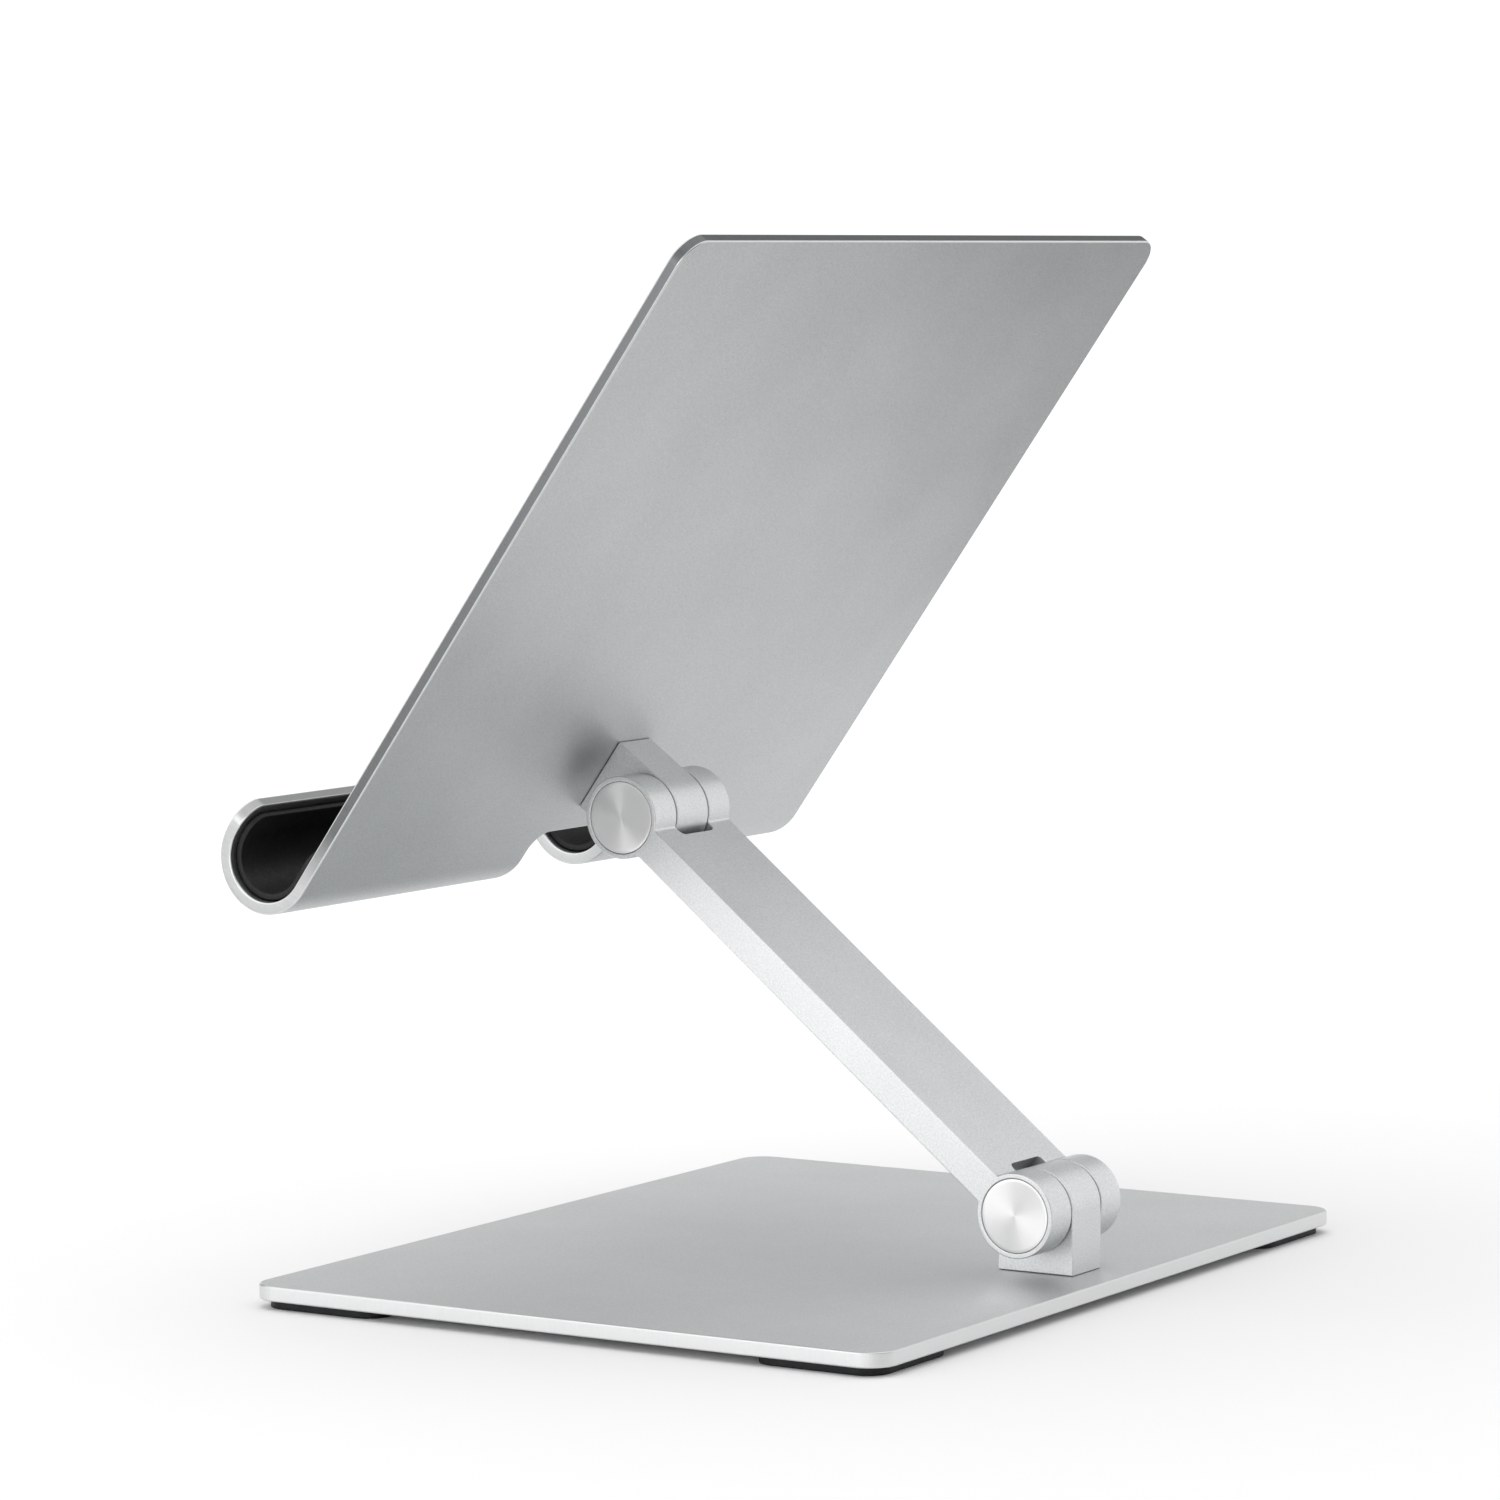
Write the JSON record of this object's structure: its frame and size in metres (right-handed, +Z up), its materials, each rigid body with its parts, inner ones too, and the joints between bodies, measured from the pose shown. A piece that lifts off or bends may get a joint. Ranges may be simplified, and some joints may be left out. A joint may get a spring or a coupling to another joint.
{
  "type": "tablet stand",
  "caption": "Folding desktop stand: a flat base, a hinged arm and a tilting back plate whose bent lower edge holds a tablet.",
  "frame": {"origin": "middle of the bounding box's footprint, on the desk surface", "axes": "+X to the right as the user sees the stand, along both hinge axes; +Y away from the user; +Z up"},
  "size_m": [0.155, 0.1256, 0.1732],
  "materials": {
    "aluminium": "fine bead-blasted, clear anodised",
    "spun_aluminium": "spun face with fine concentric turning lines",
    "zinc_steel": "zinc plated",
    "spring_steel": "oiled spring steel",
    "nylon": "natural nylon",
    "foot_rubber": "finely pebbled black rubber",
    "pad_silicone": "smooth black silicone"
  },
  "bodies": {
    "base": {"base_plate": "aluminium", "foot_front_left": "foot_rubber", "foot_front_right": "foot_rubber", "foot_rear_left": "foot_rubber", "foot_rear_right": "foot_rubber", "lower_hinge_block": "aluminium", "lower_block_screw_front": "zinc_steel", "lower_block_screw_rear": "zinc_steel", "lower_friction_washer_left": "nylon", "lower_friction_washer_right": "nylon"},
    "arm": {"arm": "aluminium", "lower_hinge_bolt": "zinc_steel", "lower_hinge_nut": "zinc_steel", "lower_disc_spring_inner": "spring_steel", "lower_disc_spring_outer": "spring_steel", "lower_hinge_cap_left": "spun_aluminium", "lower_hinge_cap_right": "spun_aluminium", "upper_hinge_bolt": "zinc_steel", "upper_hinge_nut": "zinc_steel", "upper_disc_spring_inner": "spring_steel", "upper_disc_spring_outer": "spring_steel", "upper_hinge_cap_left": "spun_aluminium", "upper_hinge_cap_right": "spun_aluminium"},
    "plate": {"back_plate": "aluminium", "front_pad": "pad_silicone", "hook_liner_left": "pad_silicone", "hook_liner_right": "pad_silicone", "upper_hinge_block": "aluminium", "upper_block_screw_top": "zinc_steel", "upper_block_screw_bottom": "zinc_steel", "upper_friction_washer_left": "nylon", "upper_friction_washer_right": "nylon"}
  },
  "joints": [
    {"name": "arm_lift", "type": "hinge", "parent": "base", "child": "arm", "pos_m": [0, 0.0488, 0.0144], "axis": [-1, 0, 0], "range_deg": [-22.5, 60]},
    {"name": "plate_tilt", "type": "hinge", "parent": "arm", "child": "plate", "pos_m": [0, -0.02713, 0.07588], "axis": [1, 0, 0], "range_deg": [-85, 75]}
  ]
}
